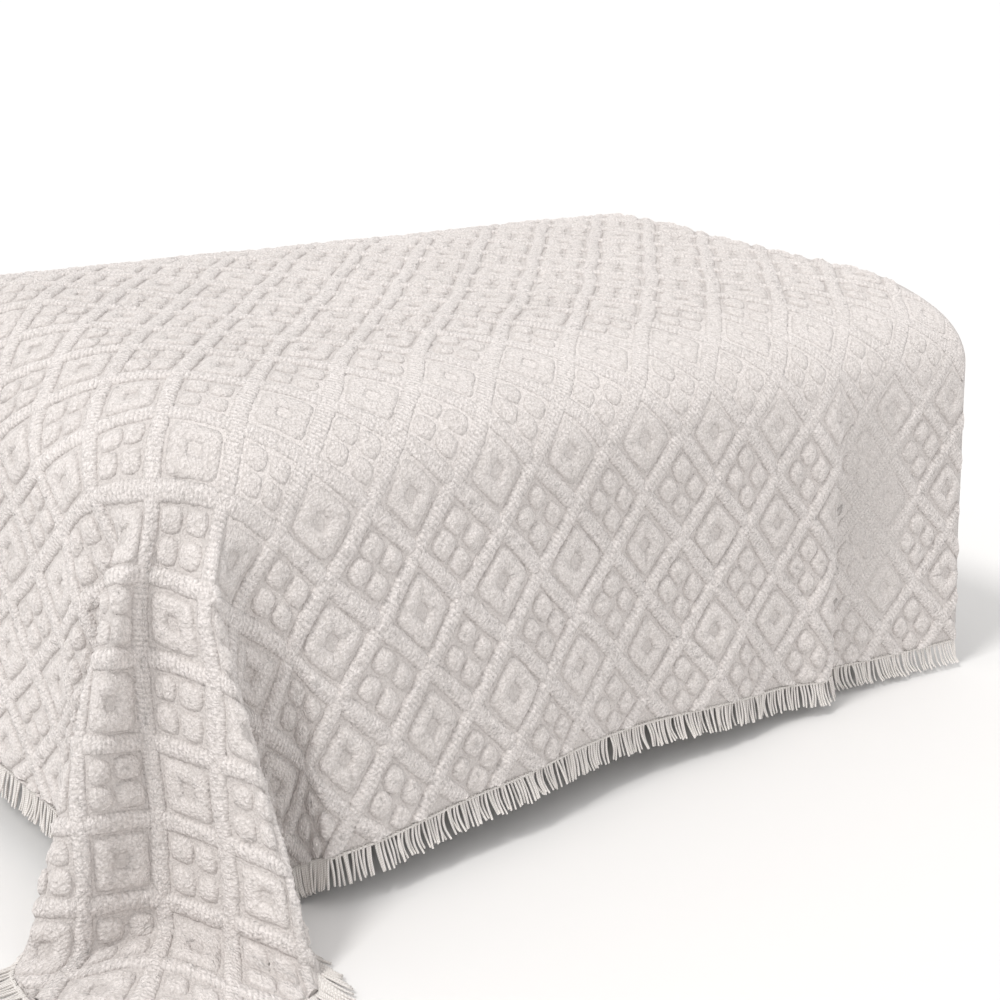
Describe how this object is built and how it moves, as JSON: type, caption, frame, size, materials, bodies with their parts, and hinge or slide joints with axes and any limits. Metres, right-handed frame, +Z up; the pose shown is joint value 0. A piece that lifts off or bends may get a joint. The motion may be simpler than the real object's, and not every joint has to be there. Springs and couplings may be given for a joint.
{
  "type": "chenille bedspread on a plain double bed",
  "caption": "Chenille bedspread with a raised diamond lattice and a yarn fringe, draped over a plain bed with its foot corners falling in folds to the floor.",
  "frame": {"origin": "centre of the bed on the floor, at the bottom of its middle foot", "axes": "+Z up, +Y towards the bed's head, X across the bed"},
  "size_m": [2.0497, 2.277, 0.9148],
  "materials": {
    "chenille": "matt pile",
    "fringe_yarn": "matt yarn",
    "ticking": "matt woven",
    "base_cover": "matt woven",
    "foot_wood": "satin"
  },
  "bodies": {
    "root": {"bedspread": "chenille", "fringe_near": "fringe_yarn", "fringe_foot": "fringe_yarn", "fringe_far": "fringe_yarn", "mattress": "ticking", "bed_base": "base_cover", "foot_centre": "foot_wood", "foot_near_head": "foot_wood", "foot_near_end": "foot_wood", "foot_far_head": "foot_wood", "foot_far_end": "foot_wood"}
  },
  "joints": []
}
